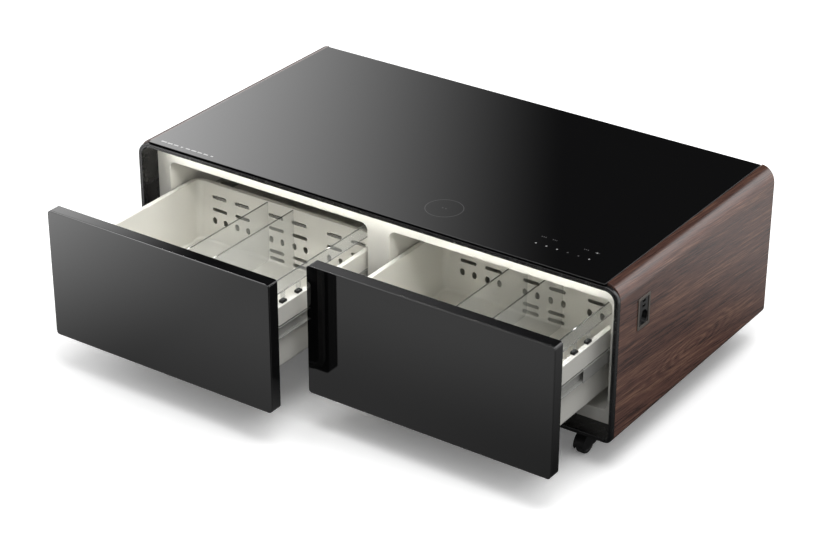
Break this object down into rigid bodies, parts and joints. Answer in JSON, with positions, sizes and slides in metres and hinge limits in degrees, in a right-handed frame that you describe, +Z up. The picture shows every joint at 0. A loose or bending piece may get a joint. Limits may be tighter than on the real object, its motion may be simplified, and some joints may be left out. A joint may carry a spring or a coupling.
{
  "type": "refrigerator coffee table",
  "caption": "Low coffee table with a black glass top and walnut ends, and a fridge in its front whose drawers run out on slides; on swivel casters.",
  "frame": {"origin": "on the floor, under the middle of the box round the table with both drawers drawn out as stored", "axes": "+X along the table's length to the right as seen from the front, +Y from the drawers to the back, +Z up"},
  "size_m": [1.302, 1.0486, 0.452],
  "materials": {
    "black_glass": "tempered glass, printed black on its back",
    "walnut": "walnut-look foil over bent board",
    "black_paint": "black, satin",
    "warm_white": "warm white, moulded",
    "foam": "foamed in place",
    "zinc_steel": "zinc-plated",
    "aluminium": "plain",
    "black_plastic": "moulded black",
    "black_rubber": "black tread",
    "grey_rubber": "soft grey seal",
    "circuit_board": "green board with its parts",
    "copper": "enamelled copper wire on ferrite",
    "clear_plate": "clear sheet"
  },
  "bodies": {
    "cabinet": {"top_glass": "black_glass", "top_tray": "black_plastic", "front_frame": "black_paint", "fascia": "warm_white", "insulation": "foam", "base_plate": "zinc_steel", "back_panel": "black_paint", "left_side_panel": "walnut", "right_side_panel": "walnut", "left_liner": "warm_white", "right_liner": "warm_white", "left_duct_cover": "warm_white", "right_duct_cover": "warm_white", "compressor": "black_paint", "condenser": "aluminium", "condenser_fan_shroud": "black_plastic", "evaporator": "aluminium", "evaporator_fan_motor": "zinc_steel", "control_board": "circuit_board", "touch_board": "circuit_board", "charging_coil": "copper", "socket_frame": "black_plastic", "socket_insert": "black_plastic", "power_inlet": "black_plastic", "left_drawer_left_cabinet_rail": "zinc_steel", "left_drawer_right_cabinet_rail": "zinc_steel", "right_drawer_left_cabinet_rail": "zinc_steel", "right_drawer_right_cabinet_rail": "zinc_steel"},
    "left_drawer": {"left_drawer_glass": "black_glass", "left_drawer_door": "black_paint", "left_drawer_gasket": "grey_rubber", "left_drawer_box": "warm_white", "left_drawer_gallery": "clear_plate", "left_drawer_left_divider": "clear_plate", "left_drawer_right_divider": "clear_plate", "left_drawer_left_box_rail": "zinc_steel", "left_drawer_right_box_rail": "zinc_steel"},
    "right_drawer": {"right_drawer_glass": "black_glass", "right_drawer_door": "black_paint", "right_drawer_gasket": "grey_rubber", "right_drawer_box": "warm_white", "right_drawer_gallery": "clear_plate", "right_drawer_left_divider": "clear_plate", "right_drawer_right_divider": "clear_plate", "right_drawer_left_box_rail": "zinc_steel", "right_drawer_right_box_rail": "zinc_steel"},
    "left_drawer_middle_rails": {"left_drawer_left_middle_rail": "zinc_steel", "left_drawer_right_middle_rail": "zinc_steel"},
    "right_drawer_middle_rails": {"right_drawer_left_middle_rail": "zinc_steel", "right_drawer_right_middle_rail": "zinc_steel"},
    "front_left_caster": {"front_left_caster_fork": "black_plastic"},
    "front_right_caster": {"front_right_caster_fork": "black_plastic"},
    "back_left_caster": {"back_left_caster_fork": "black_plastic"},
    "back_right_caster": {"back_right_caster_fork": "black_plastic"},
    "front_left_wheel": {"front_left_caster_wheel": "black_rubber"},
    "front_right_wheel": {"front_right_caster_wheel": "black_rubber"},
    "back_left_wheel": {"back_left_caster_wheel": "black_rubber"},
    "back_right_wheel": {"back_right_caster_wheel": "black_rubber"},
    "condenser_fan": {"condenser_fan": "black_plastic"},
    "evaporator_fan": {"evaporator_fan": "warm_white"}
  },
  "joints": [
    {"name": "left_drawer_slide", "type": "slide", "parent": "cabinet", "child": "left_drawer", "axis": [0, -1, 0], "range_m": [-0.3517, 0.0483]},
    {"name": "right_drawer_slide", "type": "slide", "parent": "cabinet", "child": "right_drawer", "axis": [0, -1, 0], "range_m": [-0.2302, 0.1698]},
    {"name": "left_middle_rails_slide", "type": "slide", "parent": "cabinet", "child": "left_drawer_middle_rails", "axis": [0, -1, 0], "range_m": [-0.17585, 0.02415]},
    {"name": "right_middle_rails_slide", "type": "slide", "parent": "cabinet", "child": "right_drawer_middle_rails", "axis": [0, -1, 0], "range_m": [-0.1151, 0.0849]},
    {"name": "front_left_caster_swivel", "type": "hinge", "parent": "cabinet", "child": "front_left_caster", "pos_m": [-0.56105, -0.1217, 0.06], "axis": [0, 0, 1], "continuous": true},
    {"name": "front_right_caster_swivel", "type": "hinge", "parent": "cabinet", "child": "front_right_caster", "pos_m": [0.55895, -0.1217, 0.06], "axis": [0, 0, 1], "continuous": true},
    {"name": "back_left_caster_swivel", "type": "hinge", "parent": "cabinet", "child": "back_left_caster", "pos_m": [-0.56105, 0.4633, 0.06], "axis": [0, 0, 1], "continuous": true},
    {"name": "back_right_caster_swivel", "type": "hinge", "parent": "cabinet", "child": "back_right_caster", "pos_m": [0.55895, 0.4633, 0.06], "axis": [0, 0, 1], "continuous": true},
    {"name": "front_left_wheel_roll", "type": "hinge", "parent": "front_left_caster", "child": "front_left_wheel", "pos_m": [-0.56105, -0.1417, 0.025], "axis": [1, 0, 0], "continuous": true},
    {"name": "front_right_wheel_roll", "type": "hinge", "parent": "front_right_caster", "child": "front_right_wheel", "pos_m": [0.55895, -0.1417, 0.025], "axis": [1, 0, 0], "continuous": true},
    {"name": "back_left_wheel_roll", "type": "hinge", "parent": "back_left_caster", "child": "back_left_wheel", "pos_m": [-0.56105, 0.4433, 0.025], "axis": [1, 0, 0], "continuous": true},
    {"name": "back_right_wheel_roll", "type": "hinge", "parent": "back_right_caster", "child": "back_right_wheel", "pos_m": [0.55895, 0.4433, 0.025], "axis": [1, 0, 0], "continuous": true},
    {"name": "condenser_fan_spin", "type": "hinge", "parent": "cabinet", "child": "condenser_fan", "pos_m": [-0.43475, 0.43745, 0.1779], "axis": [1, 0, 0], "continuous": true},
    {"name": "evaporator_fan_spin", "type": "hinge", "parent": "cabinet", "child": "evaporator_fan", "pos_m": [-0.00105, 0.3575, 0.31], "axis": [0, 1, 0], "continuous": true}
  ],
  "couplings": [
    {"joint": "left_middle_rails_slide", "follows": "left_drawer_slide", "ratio": 0.5},
    {"joint": "right_middle_rails_slide", "follows": "right_drawer_slide", "ratio": 0.5}
  ]
}
